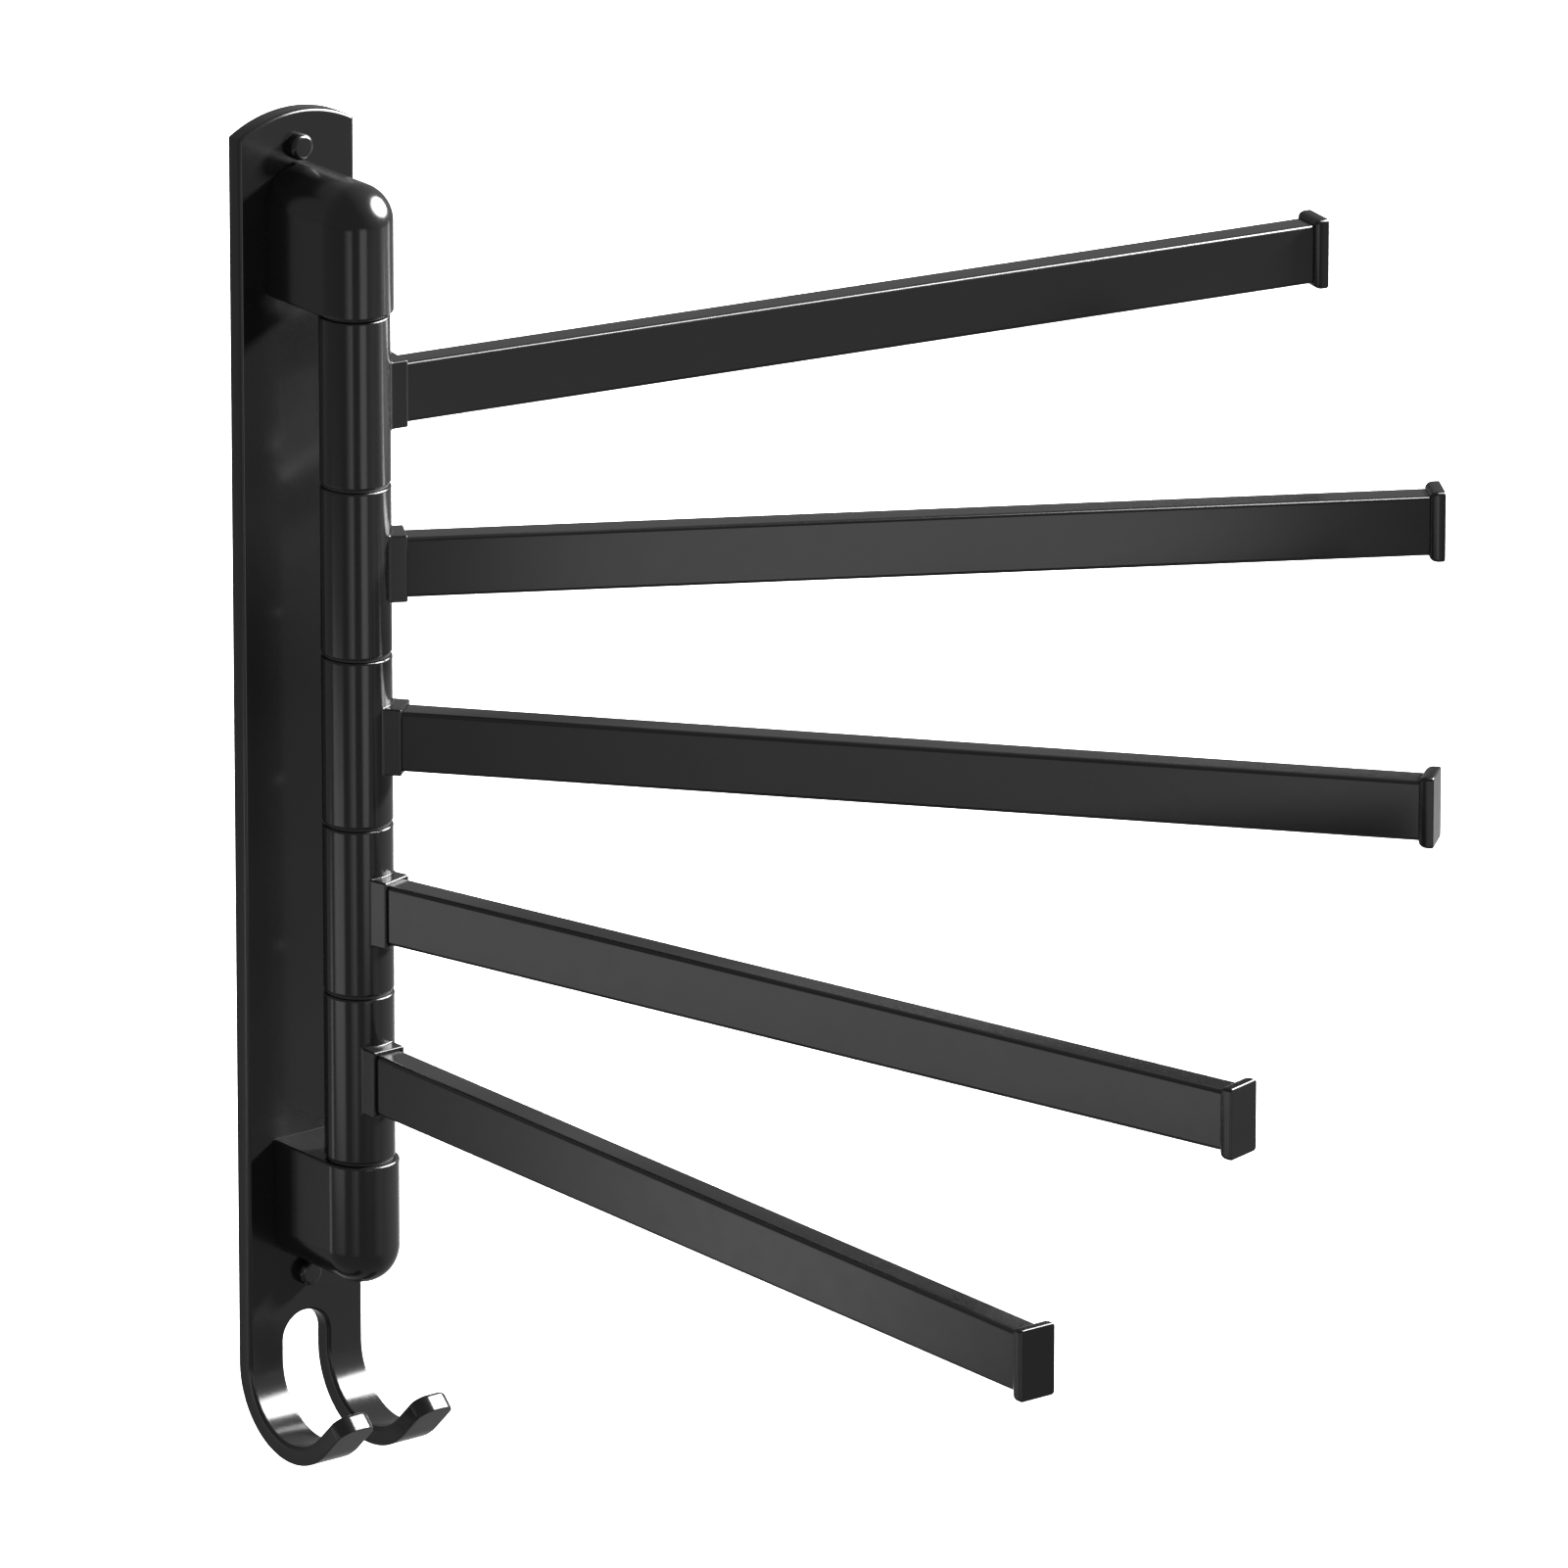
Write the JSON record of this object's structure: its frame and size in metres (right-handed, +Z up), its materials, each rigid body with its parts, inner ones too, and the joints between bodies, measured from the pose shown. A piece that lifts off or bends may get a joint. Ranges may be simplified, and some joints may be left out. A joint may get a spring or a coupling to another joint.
{
  "type": "swing arm towel bar",
  "caption": "Wall-mounted towel rack: flat rectangular arms swing independently about one upright rod held by two brackets on a tall plate whose foot bends into a forked hook.",
  "frame": {"origin": "on the wall plane, which is the plate's back face, on the plate's centreline and halfway between the two wall screws", "axes": "+X to the right seen from the room, +Y into the wall, +Z up along the plate"},
  "size_m": [0.326, 0.3597, 0.3939],
  "materials": {
    "plate_black": "semi-gloss black paint",
    "bracket_black": "semi-gloss black paint",
    "sleeve_black": "semi-gloss black paint",
    "bar_black": "satin black paint",
    "cap_black": "semi-gloss black moulding",
    "screw_black": "black painted steel",
    "screw_steel": "zinc plated steel",
    "rod_steel": "ground stainless steel",
    "washer_nylon": "black nylon",
    "bush_nylon": "natural nylon"
  },
  "bodies": {
    "root": {"back_plate": "plate_black", "upper_bracket": "bracket_black", "lower_bracket": "bracket_black", "pivot_rod": "rod_steel", "bracket_screws": "screw_steel", "wall_screws": "screw_black", "thrust_washer_1": "washer_nylon", "thrust_washer_2": "washer_nylon", "thrust_washer_3": "washer_nylon", "thrust_washer_4": "washer_nylon", "thrust_washer_5": "washer_nylon", "thrust_washer_6": "washer_nylon"},
    "arm_1": {"sleeve_1": "sleeve_black", "bush_1": "bush_nylon", "arm_bar_1": "bar_black", "end_cap_1": "cap_black"},
    "arm_2": {"sleeve_2": "sleeve_black", "bush_2": "bush_nylon", "arm_bar_2": "bar_black", "end_cap_2": "cap_black"},
    "arm_3": {"sleeve_3": "sleeve_black", "bush_3": "bush_nylon", "arm_bar_3": "bar_black", "end_cap_3": "cap_black"},
    "arm_4": {"sleeve_4": "sleeve_black", "bush_4": "bush_nylon", "arm_bar_4": "bar_black", "end_cap_4": "cap_black"},
    "arm_5": {"sleeve_5": "sleeve_black", "bush_5": "bush_nylon", "arm_bar_5": "bar_black", "end_cap_5": "cap_black"}
  },
  "joints": [
    {"name": "arm_1_swing", "type": "hinge", "parent": "root", "child": "arm_1", "pos_m": [0, -0.032, 0.1], "axis": [0, 0, -1], "range_deg": [-10, 170]},
    {"name": "arm_2_swing", "type": "hinge", "parent": "root", "child": "arm_2", "pos_m": [0, -0.032, 0.05], "axis": [0, 0, -1], "range_deg": [-30, 150]},
    {"name": "arm_3_swing", "type": "hinge", "parent": "root", "child": "arm_3", "pos_m": [0, -0.032, 0], "axis": [0, 0, -1], "range_deg": [-50, 130]},
    {"name": "arm_4_swing", "type": "hinge", "parent": "root", "child": "arm_4", "pos_m": [0, -0.032, -0.05], "axis": [0, 0, -1], "range_deg": [-75, 105]},
    {"name": "arm_5_swing", "type": "hinge", "parent": "root", "child": "arm_5", "pos_m": [0, -0.032, -0.1], "axis": [0, 0, -1], "range_deg": [-90, 90]}
  ]
}
